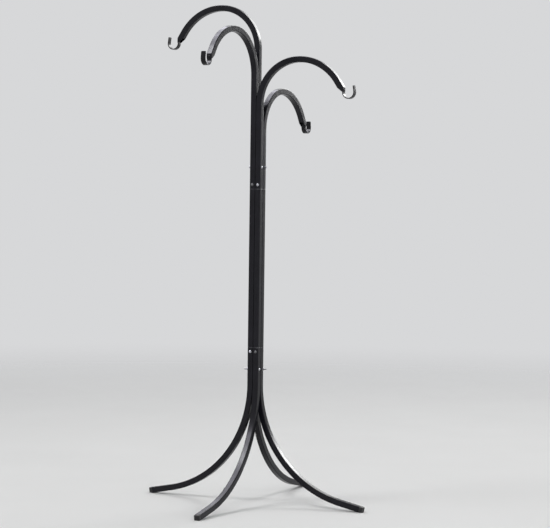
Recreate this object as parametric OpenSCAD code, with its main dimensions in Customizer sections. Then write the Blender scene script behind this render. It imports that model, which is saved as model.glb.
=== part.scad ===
// Four-way hanging plant stand.
// Four lines of square tube are bundled two by two into a column. Each line is an arm with a
// hook, a middle tube and a leg. Bolts through each pair of tubes hold the bundle together.
// Frame: +Z up, ground at Z 0, column axis on Z, front is -Y, right is +X.

/* [Tube] */
// Outside width of the square tube
tube = 25; // [22:1:30]
// Wall thickness of the tube
wall = 1.2; // [1:0.1:1.8]
// Outside corner radius of the tube
corner = 3; // [2:0.25:4]
// Gap between neighbouring tubes of the bundle
bundle_gap = 0.6; // [0.4:0.2:2]

/* [Column] */
// Length of the reduced tube end that slides into an arm or a leg
spigot_len = 112; // [104:2:124]
// Clearance on each side between a reduced tube end and the tube around it
spigot_clear = 0.15; // [0.1:0.05:0.3]
// Length of the solid shoulder ring between tube and reduced end
shoulder_len = 3; // [2:0.5:6]

/* [Arms] */
// Overall height, to the top of the highest arm
height = 2100; // [1700:10:2400]
// Drop from each arm to the next lower one
arm_step = 115; // [90:5:150]
// Straight length of the lowest arm, from the upper junction to its rising bend
lowest_arm_straight = 242; // [120:1:400]
// Centreline radius of an arm's rising bend
rise_r = 180; // [150:2:200]
// Centreline radius of an arm's falling bend
fall_r = 214; // [180:2:240]
// Angle of an arm's falling bend past the top
fall_angle = 57; // [45:1:70]
// Straight length at the end of an arm, before its neck
arm_end = 30; // [26:1:60]
// How far before the neck the slanting cut of the tube's mouth starts, at the inner wall
mitre = 9; // [6:1:14]
// Length of the tube's outer wall past the neck, where the slanting cut ends
tongue_len = 15; // [13:1:16]

/* [Hooks] */
// Thickness of the hook's flat strip
hook_t = 4; // [3.5:0.5:5]
// Clearance on each side between the hook's strip and the tube's side walls
hook_side_clear = 0.3; // [0.1:0.1:0.8]
// Radius of the strip's long edges
hook_edge_r = 1.6; // [1.4:0.1:1.7]
// Gap between the hook's strip and the tube's outer wall, for the paint
seat_gap = 0.1; // [0.05:0.05:0.2]
// Length of the hook's shank inside the tube
shank_len = 30; // [20:1:40]
// Centreline radius of the hook's bend in the neck
neck_r = 12; // [10:0.5:16]
// Straight length between the neck's bend and the bowl
neck_len = 17; // [17:1:30]
// Inside radius of the hook's bowl
bowl_r = 23; // [18:1:35]
// Angle of the bowl's bend: past 180 the outer limb leans inwards
bowl_angle = 188; // [182:1:200]
// Straight length of the hook's outer limb above the bowl
limb_len = 24; // [15:1:35]
// Corner radius of the strip's tip
tip_r = 3.5; // [2:0.5:5]

/* [Rivets] */
// Diameter of a rivet's shank
rivet_d = 5; // [4:0.5:6]
// Diameter of a rivet's domed head
rivet_head_d = 10; // [8:0.5:11]
// Height of a rivet's domed head
rivet_head_h = 3; // [2:0.25:4]
// Diameter of a rivet's closed tail
rivet_tail_d = 8.5; // [7:0.5:10]
// Height of a rivet's closed tail
rivet_tail_h = 1.6; // [1:0.2:2.4]
// Distance of a rivet below the neck's bend
rivet_drop = 8; // [6:0.5:9]
// Radial clearance of a rivet in its hole
rivet_clear = 0.1; // [0.05:0.05:0.2]

/* [Legs] */
// Straight length of a leg, from the lower junction to its bend
leg_straight = 156; // [110:1:240]
// Centreline radius of a leg's bend
leg_bend_r = 478; // [400:2:580]
// Angle of a leg's bend away from the upright
leg_bend_angle = 78.5; // [70:0.5:82]
// Straight length of tube at the end of a leg
leg_toe = 93; // [50:1:120]
// Height of the tube's lowest edge above the ground
toe_lift = 0.5; // [0.3:0.1:1]
// Length of a foot plug outside the tube
foot_len = 16; // [10:1:30]
// Length of a foot plug inside the tube
foot_stub = 25; // [15:1:40]
// Clearance on each side of a foot plug inside the tube
foot_clear = 0.2; // [0.1:0.05:0.4]

/* [Bolts] */
// Diameter of a bolt
bolt_d = 6; // [5:1:8]
// Radial clearance of a bolt in its hole
bolt_clear = 0.3; // [0.1:0.1:0.5]
// Distance of the first pair of bolts from a junction line
bolt_near = 18; // [14:1:30]
// Distance of the second pair of bolts from a junction line
bolt_far = 92; // [80:1:94]
// Length under the head of a bolt at the upper junction
upper_bolt_len = 60; // [58:1:75]
// Length under the head of a bolt at the lower junction
lower_bolt_len = 70; // [58:1:80]
// Diameter of a bolt's domed head
bolt_head_d = 12; // [11:0.5:16]
// Height of a bolt's domed head
bolt_head_h = 3.6; // [3:0.2:5]
// Width across the arms of the cross recess in a bolt's head
recess_w = 5.6; // [4:0.2:7]
// Width of one slot of the cross recess
recess_slot = 1.1; // [0.8:0.1:1.6]
// Depth of the cross recess
recess_depth = 1.8; // [1:0.1:2.4]
// Width of a nut across its flats
nut_af = 10; // [10:0.5:14]
// Thickness of a nut
nut_h = 5; // [4:0.5:7]
// Radial clearance between a bolt and its nut
nut_clear = 0.15; // [0.1:0.05:0.3]
// Outside diameter of a washer
washer_d = 12; // [12:0.5:16]
// Thickness of a washer
washer_t = 1.4; // [1:0.1:2]

/* [Hidden] */

// What follows a slanting bend starts this far inside it, and its faces lie a hair inside the
// bend's own, so that the two become one clean solid
lead = 0.1;
hair = 0.01;
// The smallest radius that a corner on the inside of a tube is given
least_corner = 0.2;
// Steps of a full turn: small round things, tube corners and bends
$fn = 64;
corner_fn = 32;
bend_fn = 240;

// Directions that an arm or a leg leaves in, turned about Z from +X
right = 0;
back = 90;
left = 180;
front = 270;

// Tube axes lie this far from the column axis along X and along Y
tube_offset = (tube + bundle_gap) / 2;
// Outer faces of the bundle lie this far from the column axis
bundle_face = tube_offset + tube / 2;
tube_inside = tube - 2 * wall;
spigot = tube_inside - 2 * spigot_clear;
hook_w = tube_inside - 2 * hook_side_clear;
// Distance of the hook's strip from the tube's own axis
strip_offset = tube / 2 - wall - seat_gap - hook_t / 2;
// The neck turns on from the arm's end until it hangs plumb
neck_angle = 90 - fall_angle;
// In the neck only this depth of the tube is bent, and flat cheeks close its sides
channel_depth = tube / 2 - strip_offset + hook_t / 2;
// Heights of the two junctions above the ground, where the middle tubes begin and end
toe_axis_height = toe_lift + tube / 2 * sin(leg_bend_angle);
lower_joint = toe_axis_height + leg_toe * cos(leg_bend_angle)
    + leg_bend_r * sin(leg_bend_angle) + leg_straight;
lowest_arm_top = height - 3 * arm_step;
upper_joint = lowest_arm_top - tube / 2 - rise_r - lowest_arm_straight;

// --- Sections -------------------------------------------------------------------------------

// A rectangle with round corners
module round_rectangle(width, depth, radius) {
    square([width, depth - 2 * radius], center = true);
    square([width - 2 * radius, depth], center = true);
    for (x = [-1, 1], y = [-1, 1])
        translate([x * (width / 2 - radius), y * (depth / 2 - radius)])
            circle(radius, $fn = corner_fn);
}

module round_square(size, radius) {
    round_rectangle(size, size, radius);
}

// A square ring with round corners
module tube_ring(outside, inside) {
    difference() {
        round_square(outside, corner - (tube - outside) / 2);
        round_square(inside, max(least_corner, corner - (tube - inside) / 2));
    }
}

// The outer part of the tube, measured from the hook's strip, with each face this much inside
module channel(inset) {
    intersection() {
        translate([strip_offset, 0])
            tube_ring(tube - 2 * inset, tube_inside + 2 * inset);
        translate([strip_offset - tube, -tube])
            square([channel_depth + tube / 2 - inset, 2 * tube]);
    }
}

// The cross-section that the stretch modules below carry along: X is the side they bend to
module section() {
    if ($section == "tube")
        tube_ring(tube, tube_inside);
    if ($section == "tube end")
        tube_ring(tube - 2 * hair, tube_inside + 2 * hair);
    if ($section == "channel")
        channel(2 * hair);
    if ($section == "channel end")
        channel(3 * hair);
    if ($section == "hook strip")
        round_rectangle(hook_t, hook_w, hook_edge_r);
    if ($section == "hook strip end")
        round_rectangle(hook_t - 2 * hair, hook_w - 2 * hair, hook_edge_r - hair);
    if ($section == "hook strip tip")
        round_rectangle(hook_t - 4 * hair, hook_w - 4 * hair, hook_edge_r - 2 * hair);
}

// --- Stretches of a bent bar: each draws itself along +Z and puts its children at its end ---

module past_straight(length) {
    translate([0, 0, length])
        children();
}

// A bend turns towards +X, or towards -X when its radius is negative
module past_bend(radius, angle) {
    translate([radius, 0, 0])
        rotate([0, sign(radius) * angle, 0])
            translate([-radius, 0, 0])
                children();
}

module straight(length, lead = 0) {
    translate([0, 0, -lead])
        linear_extrude(length + lead)
            section();
    past_straight(length)
        children();
}

module bend(radius, angle) {
    translate([radius, 0, 0])
        rotate([90, 0, radius > 0 ? 180 : 0])
            rotate_extrude(angle = angle, $fn = bend_fn)
                translate([abs(radius), 0])
                    rotate(radius > 0 ? 180 : 0)
                        section();
    past_bend(radius, angle)
        children();
}

// --- Places ---------------------------------------------------------------------------------

// The top of a middle tube, on the line whose arm leaves in this direction
module on_arm_line(direction) {
    rotate([0, 0, direction])
        translate([tube_offset, -tube_offset, upper_joint])
            children();
}

// The foot of a middle tube, looking down the line whose leg leaves in this direction
module on_leg_line(direction) {
    rotate([0, 0, direction])
        translate([tube_offset, tube_offset, lower_joint])
            rotate([180, 0, 0])
                children();
}

// The back arm is the lowest, and the right, front and left ones each stand a step higher
function steps_up(direction) =
    direction == back ? 0 : direction == right ? 1 : direction == front ? 2 : 3;
function arm_straight(direction) = lowest_arm_straight + arm_step * steps_up(direction);

module at_arm_mouth(direction) {
    on_arm_line(direction)
        past_straight(arm_straight(direction))
            past_bend(rise_r, 90)
                past_bend(fall_r, fall_angle)
                    past_straight(arm_end)
                        children();
}

// The rivet's axis, pointing out of the tongue's outer face
module at_rivet(direction) {
    at_arm_mouth(direction)
        translate([-strip_offset, 0, 0])
            past_bend(neck_r, neck_angle)
                translate([-hook_t / 2, 0, rivet_drop])
                    rotate([0, -90, 0])
                        children();
}

// The bolts of each junction: [height of the junction, way from it along Z, length of a bolt]
upper_levels = [upper_joint, 1, upper_bolt_len];
lower_levels = [lower_joint, -1, lower_bolt_len];

// A bolt's axis from the middle of its two tubes, with the head's end at -Z.
// Near bolts run along Y with their heads in front. Far bolts run along X, the front one with
// its head on the right and the back one with its head on the left.
module at_bolts(levels) {
    for (side = [-1, 1]) {
        translate([side * tube_offset, 0, levels[0] + levels[1] * bolt_near])
            rotate([-90, 0, 0])
                children();
        translate([0, side * tube_offset, levels[0] + levels[1] * bolt_far])
            rotate([0, side * 90, 0])
                children();
    }
}

module bolt_holes(levels) {
    at_bolts(levels)
        cylinder(h = 3 * tube, r = bolt_d / 2 + bolt_clear, center = true);
}

// --- Tubes ----------------------------------------------------------------------------------

module arm(direction) {
    color([0.10, 0.10, 0.11])
        difference() {
            on_arm_line(direction) {
                $section = "tube";
                straight(arm_straight(direction))
                    bend(rise_r, 90)
                        bend(fall_r, fall_angle) {
                            $section = "tube end";
                            straight(arm_end, lead)
                                neck();
                        }
            }
            at_arm_mouth(direction)
                mouth_cut();
            bolt_holes(upper_levels);
            at_rivet(direction)
                rivet_hole();
        }
}

// A place in the arm's plane below the neck: across from the hook's strip, and past the neck
function below_neck(across, past) = [
    neck_r - strip_offset - (neck_r - across) * cos(neck_angle) + past * sin(neck_angle),
    (neck_r - across) * sin(neck_angle) + past * cos(neck_angle)
];
// Where the slanting cut of the mouth starts and where it ends
cut_start = [tube / 2, -mitre];
cut_end = below_neck(hook_t / 2, tongue_len);

// The tube's outer wall bends plumb with its corners, and a cheek on each side carries on the
// side wall up to the slanting cut
module neck() {
    translate([-strip_offset, 0, -lead]) {
        $section = "channel";
        straight(lead)
            bend(neck_r, neck_angle) {
                $section = "channel end";
                straight(tongue_len + lead, lead);
            }
    }
    for (side = [-1, 1])
        translate([0, side * (tube - wall) / 2, 0])
            rotate([90, 0, 0])
                linear_extrude(wall - 8 * hair, center = true)
                    polygon([
                        [-strip_offset, -lead], [tube / 2 - corner, -lead],
                        below_neck(tube / 2, tongue_len + lead),
                        below_neck(0, tongue_len + lead), below_neck(0, 0)
                    ]);
}

// The cut slants from the inner wall to the hook's strip and then runs level to the outside
module mouth_cut() {
    beyond = 3 * tube;
    rotate([90, 0, 0])
        linear_extrude(2 * tube, center = true)
            polygon([
                cut_start + (cut_start - cut_end) / 2, cut_end,
                below_neck(-tube, tongue_len), below_neck(-tube, beyond),
                below_neck(beyond, beyond)
            ]);
}

// A flat strip along +X whose far corners are round
module rounded_end(length, width, start) {
    translate([-start, -width / 2])
        square([length - tip_r + start, width]);
    translate([0, tip_r - width / 2])
        square([length, width - 2 * tip_r]);
    for (side = [-1, 1])
        translate([length - tip_r, side * (width / 2 - tip_r)])
            circle(tip_r);
}

// A straight tube whose reduced ends slide up into an arm and down into a leg
module middle_tube(x_side, y_side) {
    color([0.10, 0.10, 0.11])
        difference() {
            translate([x_side * tube_offset, y_side * tube_offset, 0]) {
                translate([0, 0, lower_joint])
                    linear_extrude(upper_joint - lower_joint)
                        tube_ring(tube, tube_inside);
                translate([0, 0, lower_joint - spigot_len])
                    linear_extrude(upper_joint - lower_joint + 2 * spigot_len)
                        tube_ring(spigot, spigot - 2 * wall);
                for (shoulder = [lower_joint, upper_joint - shoulder_len])
                    translate([0, 0, shoulder])
                        linear_extrude(shoulder_len)
                            tube_ring(tube, spigot - 2 * wall);
            }
            translate([x_side * tube_offset, y_side * tube_offset, lower_joint + shoulder_len])
                linear_extrude(upper_joint - lower_joint - 2 * shoulder_len)
                    round_square(tube_inside, corner - wall);
            bolt_holes(upper_levels);
            bolt_holes(lower_levels);
        }
}

module leg(direction) {
    color([0.10, 0.10, 0.11])
        difference() {
            on_leg_line(direction) {
                $section = "tube";
                straight(leg_straight)
                    bend(leg_bend_r, leg_bend_angle) {
                        $section = "tube end";
                        straight(leg_toe, lead);
                    }
            }
            bolt_holes(lower_levels);
        }
}

// --- Small parts ----------------------------------------------------------------------------

// Flat strip: a shank inside the arm, a neck that hangs plumb, a round bowl and an outer limb
module hook(direction) {
    color([0.09, 0.09, 0.10])
        difference() {
            at_arm_mouth(direction)
                translate([-strip_offset, 0, -shank_len]) {
                    $section = "hook strip";
                    straight(shank_len)
                        bend(neck_r, neck_angle) {
                            $section = "hook strip end";
                            straight(neck_len, lead)
                                bend(-bowl_r - hook_t / 2, bowl_angle)
                                    limb();
                        }
                }
            at_rivet(direction)
                rivet_hole();
        }
}

// The end of the strip, with its tip's corners rounded off
module limb() {
    $section = "hook strip tip";
    intersection() {
        straight(limb_len + lead, lead);
        rotate([0, -90, 0])
            linear_extrude(2 * hook_t, center = true)
                rounded_end(limb_len, hook_w, 2 * lead);
    }
}

module rivet_hole() {
    cylinder(h = 4 * hook_t, r = rivet_d / 2 + rivet_clear, center = true);
}

// A spherical cap that stands on the XY plane
module dome(diameter, rise) {
    ball = (pow(diameter / 2, 2) + pow(rise, 2)) / (2 * rise);
    intersection() {
        translate([0, 0, rise - ball])
            sphere(ball);
        cylinder(h = rise + 1, d = diameter + 1);
    }
}

// Dome outside the tongue, closed tail inside the hook's neck
module hook_rivets() {
    color([0.12, 0.12, 0.13])
        for (direction = [left, front, right, back])
            at_rivet(direction) {
                translate([0, 0, seat_gap + wall])
                    dome(rivet_head_d, rivet_head_h);
                translate([0, 0, -hook_t - lead])
                    cylinder(h = hook_t + seat_gap + wall + 2 * lead, d = rivet_d);
                translate([0, 0, -hook_t])
                    mirror([0, 0, 1])
                        cylinder(h = rivet_tail_h, d = rivet_tail_d);
            }
}

module foot_plug(direction) {
    color([0.13, 0.13, 0.13])
        difference() {
            on_leg_line(direction)
                past_straight(leg_straight)
                    past_bend(leg_bend_r, leg_bend_angle)
                        past_straight(leg_toe) {
                            linear_extrude(foot_len)
                                round_square(tube, corner);
                            translate([0, 0, -foot_stub])
                                linear_extrude(foot_stub + lead)
                                    round_square(tube_inside - 2 * foot_clear,
                                        max(least_corner, corner - wall - foot_clear));
                        }
            // the sole is cut level with the ground
            rotate([0, 0, direction])
                translate([0, 0, -tube])
                    cube([4 * leg_bend_r, 4 * bundle_face, 2 * tube], center = true);
        }
}

// One bolt along +Z whose head seats at Z 0
module bolt(length) {
    difference() {
        mirror([0, 0, 1])
            dome(bolt_head_d, bolt_head_h);
        translate([0, 0, -bolt_head_h])
            for (turn = [45, 135])
                rotate([0, 0, turn])
                    cube([recess_w, recess_slot, 2 * recess_depth], center = true);
    }
    translate([0, 0, -lead])
        cylinder(h = length + lead, d = bolt_d);
}

module bolts(levels) {
    color([0.62, 0.62, 0.64])
        at_bolts(levels)
            translate([0, 0, -bundle_face])
                bolt(levels[2]);
}

module washers(levels) {
    color([0.60, 0.60, 0.62])
        at_bolts(levels)
            translate([0, 0, bundle_face])
                difference() {
                    cylinder(h = washer_t, d = washer_d);
                    translate([0, 0, -1])
                        cylinder(h = washer_t + 2, r = bolt_d / 2 + nut_clear);
                }
}

// A hex nut whose outer corners are turned off
module nuts(levels) {
    corners = nut_af / cos(30);
    chamfer = (corners - nut_af) / 2;
    color([0.58, 0.58, 0.60])
        at_bolts(levels)
            translate([0, 0, bundle_face + washer_t])
                difference() {
                    intersection() {
                        cylinder(h = nut_h, d = corners, $fn = 6);
                        rotate_extrude()
                            polygon([
                                [0, 0], [corners / 2, 0], [corners / 2, nut_h - chamfer],
                                [corners / 2 - chamfer, nut_h], [0, nut_h]
                            ]);
                    }
                    translate([0, 0, -1])
                        cylinder(h = nut_h + 2, r = bolt_d / 2 + nut_clear);
                }
}

arm(left);  // arm_left
arm(front);  // arm_front
arm(right);  // arm_right
arm(back);  // arm_back
hook(left);  // hook_left
hook(front);  // hook_front
hook(right);  // hook_right
hook(back);  // hook_back
hook_rivets();
middle_tube(-1, 1);  // middle_tube_back_left
middle_tube(-1, -1);  // middle_tube_front_left
middle_tube(1, -1);  // middle_tube_front_right
middle_tube(1, 1);  // middle_tube_back_right
leg(left);  // leg_left
leg(front);  // leg_front
leg(back);  // leg_back
leg(right);  // leg_right
foot_plug(left);  // foot_plug_left
foot_plug(front);  // foot_plug_front
foot_plug(back);  // foot_plug_back
foot_plug(right);  // foot_plug_right
bolts(upper_levels);  // upper_bolts
bolts(lower_levels);  // lower_bolts
washers(upper_levels);  // upper_washers
washers(lower_levels);  // lower_washers
nuts(upper_levels);  // upper_nuts
nuts(lower_levels);  // lower_nuts
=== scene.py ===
# %% [markdown]
# # Dressing a hanging plant stand
#
# The stand is four lines of black painted square tube. Two bolted junctions bundle the lines
# into a column. Above it each line arches over into an arm with a flat hook, and below it each
# line sweeps out into a leg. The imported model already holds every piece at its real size. This
# lesson gives the pieces their rounded edges, threads and finishes, and it never moves them.
#
# Everything here is in metres, with the ground at Z 0 and the column on the Z axis.

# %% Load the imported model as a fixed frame
import math

import bmesh
import bpy
from mathutils import Matrix, Vector


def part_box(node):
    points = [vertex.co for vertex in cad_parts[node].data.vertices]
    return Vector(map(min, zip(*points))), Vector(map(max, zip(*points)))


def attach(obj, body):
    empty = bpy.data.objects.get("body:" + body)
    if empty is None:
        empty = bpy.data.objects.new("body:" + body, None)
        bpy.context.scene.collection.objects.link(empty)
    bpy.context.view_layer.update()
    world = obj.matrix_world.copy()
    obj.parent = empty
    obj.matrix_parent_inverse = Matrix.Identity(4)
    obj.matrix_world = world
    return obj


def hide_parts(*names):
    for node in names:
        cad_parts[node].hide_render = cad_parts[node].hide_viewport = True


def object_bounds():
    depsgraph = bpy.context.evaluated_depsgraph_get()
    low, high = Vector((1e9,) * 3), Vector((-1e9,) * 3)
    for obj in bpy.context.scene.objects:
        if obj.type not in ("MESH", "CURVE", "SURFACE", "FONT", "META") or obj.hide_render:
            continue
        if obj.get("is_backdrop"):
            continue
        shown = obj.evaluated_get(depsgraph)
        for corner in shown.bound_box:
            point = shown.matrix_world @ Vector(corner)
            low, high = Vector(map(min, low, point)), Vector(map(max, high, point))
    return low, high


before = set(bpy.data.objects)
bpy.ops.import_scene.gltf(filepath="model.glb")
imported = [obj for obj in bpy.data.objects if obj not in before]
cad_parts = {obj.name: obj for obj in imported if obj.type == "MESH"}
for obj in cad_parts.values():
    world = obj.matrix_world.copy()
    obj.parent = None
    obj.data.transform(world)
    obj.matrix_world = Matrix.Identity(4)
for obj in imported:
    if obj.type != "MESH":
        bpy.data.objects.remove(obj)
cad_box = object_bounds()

# %% [markdown]
# ## The camera
#
# A product picture is easiest to compare when its camera is rebuilt first. The stand was taken
# from about seven metres with a long lens, so its verticals stay parallel. The angles below
# came from matching the tops of the arms, the junctions and the feet. Three plain rotations
# turn the camera: round the column, down, and a small roll.

# %% The camera at the picture's viewing angle
SENSOR = 36.0
LENS = 110.45
DISTANCE = 7.0934
CAMERA_HEIGHT = 1.2147
AZIMUTH = math.radians(28.10)
YAW = math.radians(-0.622)
PITCH_DOWN = math.radians(1.676)
ROLL = math.radians(0.751)

camera_data = bpy.data.cameras.new("picture_camera")
camera_data.sensor_width = SENSOR
camera_data.lens = LENS
camera_data.clip_end = 200.0
camera = bpy.data.objects.new("picture_camera", camera_data)
bpy.context.scene.collection.objects.link(camera)
camera_place = Vector((math.sin(AZIMUTH), -math.cos(AZIMUTH), 0)) * DISTANCE
camera_place.z = CAMERA_HEIGHT
camera.matrix_world = (
    Matrix.Translation(camera_place)
    @ Matrix.Rotation(AZIMUTH + YAW, 4, "Z")
    @ Matrix.Rotation(math.pi / 2 - PITCH_DOWN, 4, "X")
    @ Matrix.Rotation(ROLL, 4, "Z")
)
bpy.context.scene.camera = camera
print("camera at", [round(x, 3) for x in camera_place])

# %% [markdown]
# ## Sizes
#
# What the frame can tell is measured on it: the tube's width, where the tubes stand and the
# heights of the junctions. What a box can't tell, such as the radius of a bend, is named here
# once and used everywhere.

# %% Sizes of the tubes
post_low, post_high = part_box("middle_tube_front_right")
TUBE = post_high.x - post_low.x
TUBE_AXIS = (post_high.x + post_low.x) / 2
BUNDLE_FACE = post_high.x
LOWER_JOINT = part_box("leg_left")[1].z
UPPER_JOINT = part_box("arm_left")[0].z
SPIGOT = LOWER_JOINT - post_low.z
WALL = 0.0012
CORNER = 0.003
SLIDE_CLEAR = 0.00015
DIRECTIONS = {"left": 180, "front": 270, "right": 0, "back": 90}
print(f"tube {TUBE * 1000:.1f} mm, junctions at {LOWER_JOINT:.3f} m and {UPPER_JOINT:.3f} m")

# %% Sizes of the arms, the hooks and the legs
RISE_R = 0.180
FALL_R = 0.214
FALL_ANGLE = 57
ARM_END = 0.030
MITRE = 0.009
TONGUE = 0.015

HOOK_T = 0.004
HOOK_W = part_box("hook_left")[1].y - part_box("hook_left")[0].y
HOOK_EDGE = 0.0016
HOOK_GAP = 0.0001
STRIP_OFFSET = TUBE / 2 - WALL - HOOK_GAP - HOOK_T / 2
SHANK = 0.030
NECK_R = 0.012
NECK_ANGLE = 90 - FALL_ANGLE
NECK = 0.017
BOWL_R = 0.023
BOWL_ANGLE = 188
LIMB = 0.024
TIP_R = 0.0035
RIVET_DROP = 0.008

LEG_STRAIGHT = 0.156
LEG_R = 0.478
LEG_ANGLE = 78.5
LEG_TOE = 0.093
PLUG = 0.016
PLUG_STUB = 0.025
PLUG_CLEAR = 0.0002
print("hook strip", round(HOOK_W * 1000, 1), "mm wide")

# %% [markdown]
# ## Small helpers for node trees
#
# A tree that a script builds stays readable when one call adds a node, sets its options and
# fills its sockets, with plain numbers or with the outputs of other nodes. The same helper
# serves geometry trees and shader trees.

# %% Helpers for node trees
def put(tree, kind, inputs=None, **options):
    """Adds a node, sets its options and fills its inputs with values or with other sockets."""
    node = tree.nodes.new(kind)
    node.location = (len(tree.nodes) * 170, 0)
    for name, value in options.items():
        setattr(node, name, value)
    for name, value in (inputs or {}).items():
        if isinstance(value, bpy.types.NodeSocket):
            tree.links.new(value, node.inputs[name])
        else:
            node.inputs[name].default_value = value
    return node


def new_tree(name, kind, inputs, outputs):
    """Starts a tree with named sockets: {name: type} or {name: (type, default)}."""
    tree = bpy.data.node_groups.new(name, kind)
    for way, sockets in (("INPUT", inputs), ("OUTPUT", outputs)):
        for socket_name, said in sockets.items():
            socket_type, default = said if isinstance(said, tuple) else (said, None)
            socket = tree.interface.new_socket(
                socket_name, in_out=way, socket_type="NodeSocket" + socket_type
            )
            if default is not None:
                socket.default_value = default
    return tree, put(tree, "NodeGroupInput").outputs


def math_node(tree, operation, *values, clamp=False):
    """One Math node, as its output socket."""
    node = put(tree, "ShaderNodeMath", dict(enumerate(values)), operation=operation)
    node.use_clamp = clamp
    return node.outputs[0]


def run_tree(piece, tree, inputs):
    """Puts a geometry tree on a piece. A modifier's input is set by its socket's identifier."""
    modifier = piece.modifiers.new(tree.name, "NODES")
    modifier.node_group = tree
    for socket in tree.interface.items_tree:
        if socket.in_out == "INPUT" and socket.name in inputs:
            modifier[socket.identifier] = inputs[socket.name]


def freeze(piece):
    """Swaps a piece's live modifiers for the plain mesh that they make."""
    depsgraph = bpy.context.evaluated_depsgraph_get()
    mesh = bpy.data.meshes.new_from_object(piece.evaluated_get(depsgraph))
    mesh.name = piece.name
    piece.modifiers.clear()
    piece.data = mesh
    return piece


def new_piece(name, mesh):
    piece = bpy.data.objects.new(name, mesh)
    bpy.context.scene.collection.objects.link(piece)
    return piece


print("helpers: put, new_tree, math_node, run_tree, freeze, new_piece")

# %% [markdown]
# ## Finishes: what the surfaces share
#
# The tubes and hooks are sprayed with black gloss paint, the bolts are zinc plated, and the
# feet are moulded plastic. Three things show on all of them. The surface isn't quite even, the
# film has a skin of small dimples, and dust settles where a face looks up. Each effect is one
# shader group with named inputs, so that every finish can take it at its own scale.
#
# An image texture would need a picture and UV maps. Noise on the object's own coordinates
# needs neither, and it runs on round every bend without a seam.

# %% Helpers: place, noise and a spread of values
def own_place(tree):
    """The object's own coordinates, which travel with it in any pose."""
    return put(tree, "ShaderNodeTexCoord").outputs["Object"]


def noise(tree, place, size, detail):
    """Soft noise from 0 to 1, in lumps of about this size."""
    scale = math_node(tree, "DIVIDE", 1.0, size)
    inputs = {"Vector": place, "Scale": scale, "Detail": detail}
    return put(tree, "ShaderNodeTexNoise", inputs).outputs["Fac"]


def spread(tree, value, *limits, **options):
    """Map Range, as its output. The limits are from low, from high, to low and to high."""
    inputs = {"Value": value} | dict(enumerate(limits, start=1))
    return put(tree, "ShaderNodeMapRange", inputs, **options).outputs[0]


print("helpers: own_place, noise, spread")

# %% Shader group: slow, cloudy unevenness
CLOUDS, given = new_tree(
    "Clouds",
    "ShaderNodeTree",
    {"Size": ("Float", 0.05), "Low": ("Float", 0.0), "High": ("Float", 1.0)},
    {"Value": "Float"},
)
cloud = noise(CLOUDS, own_place(CLOUDS), given["Size"], 3.0)
even = spread(CLOUDS, cloud, 0.3, 0.7, given["Low"], given["High"])
put(CLOUDS, "NodeGroupOutput", {"Value": even})
print("group:", CLOUDS.name)

# %% [markdown]
# Sprayed paint dries with the fine dimples of an orange's skin, a millimetre or two across,
# over a longer, lazier ripple. The group adds the two as a height, and the Bump node that
# reads it stays in the material.

# %% Shader group: orange peel
PEEL, given = new_tree(
    "Orange peel",
    "ShaderNodeTree",
    {"Dimple Size": ("Float", 0.002), "Ripple Size": ("Float", 0.02), "Ripple": ("Float", 1.0)},
    {"Height": "Float"},
)
place = own_place(PEEL)
dimples = noise(PEEL, place, given["Dimple Size"], 1.5)
ripples = noise(PEEL, place, given["Ripple Size"], 0.0)
both = math_node(PEEL, "ADD", dimples, math_node(PEEL, "MULTIPLY", ripples, given["Ripple"]))
put(PEEL, "NodeGroupOutput", {"Height": both})
print("group:", PEEL.name)

# %% [markdown]
# Dust needs to know which way a face looks. The object's own normal gives that in any pose,
# and a fine noise breaks the film up. The group hands out a mask, which each material uses to
# pale its colour and to dull its gloss.

# %% Shader group: settled dust
DUST, given = new_tree(
    "Settled dust",
    "ShaderNodeTree",
    {"Amount": ("Float", 0.2), "Speck Size": ("Float", 0.001)},
    {"Mask": "Float"},
)
coordinates = put(DUST, "ShaderNodeTexCoord").outputs
upward = put(DUST, "ShaderNodeSeparateXYZ", {0: coordinates["Normal"]}).outputs["Z"]
lying = spread(DUST, upward, 0.15, 1.0, 0.0, 1.0)
specks = noise(DUST, coordinates["Object"], given["Speck Size"], 4.0)
patchy = spread(DUST, specks, 0.35, 0.75, 0.35, 1.0)
mask = math_node(DUST, "MULTIPLY", lying, patchy)
mask = math_node(DUST, "MULTIPLY", mask, given["Amount"], clamp=True)
put(DUST, "NodeGroupOutput", {"Mask": mask})
print("group:", DUST.name)

# %% [markdown]
# Paint and plastic rub away where pieces meet. On the stand that happens at set heights: at the
# two junctions, where tube is slid on tube, and at the ground. At the junctions the light band
# is also a painted highlight along the joint's edge. One group makes the mask from the
# object's own Z, and noise breaks it up, so that the band never makes a clean ring.

# %% Shader group: a line at one height, rubbed paint and painted highlight
RUB_AND_HIGHLIGHT_LINE, given = new_tree(
    "Rubbed line",
    "ShaderNodeTree",
    {
        "Height": ("Float", 0.0),
        "Reach": ("Float", 0.002),
        "Patch Size": ("Float", 0.01),
        "Least": ("Float", 0.0),
    },
    {"Mask": "Float"},
)
place = own_place(RUB_AND_HIGHLIGHT_LINE)
height = put(RUB_AND_HIGHLIGHT_LINE, "ShaderNodeSeparateXYZ", {0: place}).outputs["Z"]
away = math_node(RUB_AND_HIGHLIGHT_LINE, "ABSOLUTE", math_node(RUB_AND_HIGHLIGHT_LINE, "SUBTRACT", height, given["Height"]))
full = math_node(RUB_AND_HIGHLIGHT_LINE, "MULTIPLY", given["Reach"], 0.25)
line = spread(RUB_AND_HIGHLIGHT_LINE, away, given["Reach"], full, 0.0, 1.0)
patches = spread(RUB_AND_HIGHLIGHT_LINE, noise(RUB_AND_HIGHLIGHT_LINE, place, given["Patch Size"], 3.0), 0.3, 0.7, given["Least"], 1.0)
mask = math_node(RUB_AND_HIGHLIGHT_LINE, "MULTIPLY", line, patches, clamp=True)
put(RUB_AND_HIGHLIGHT_LINE, "NodeGroupOutput", {"Mask": mask})
print("group:", RUB_AND_HIGHLIGHT_LINE.name)

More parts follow.
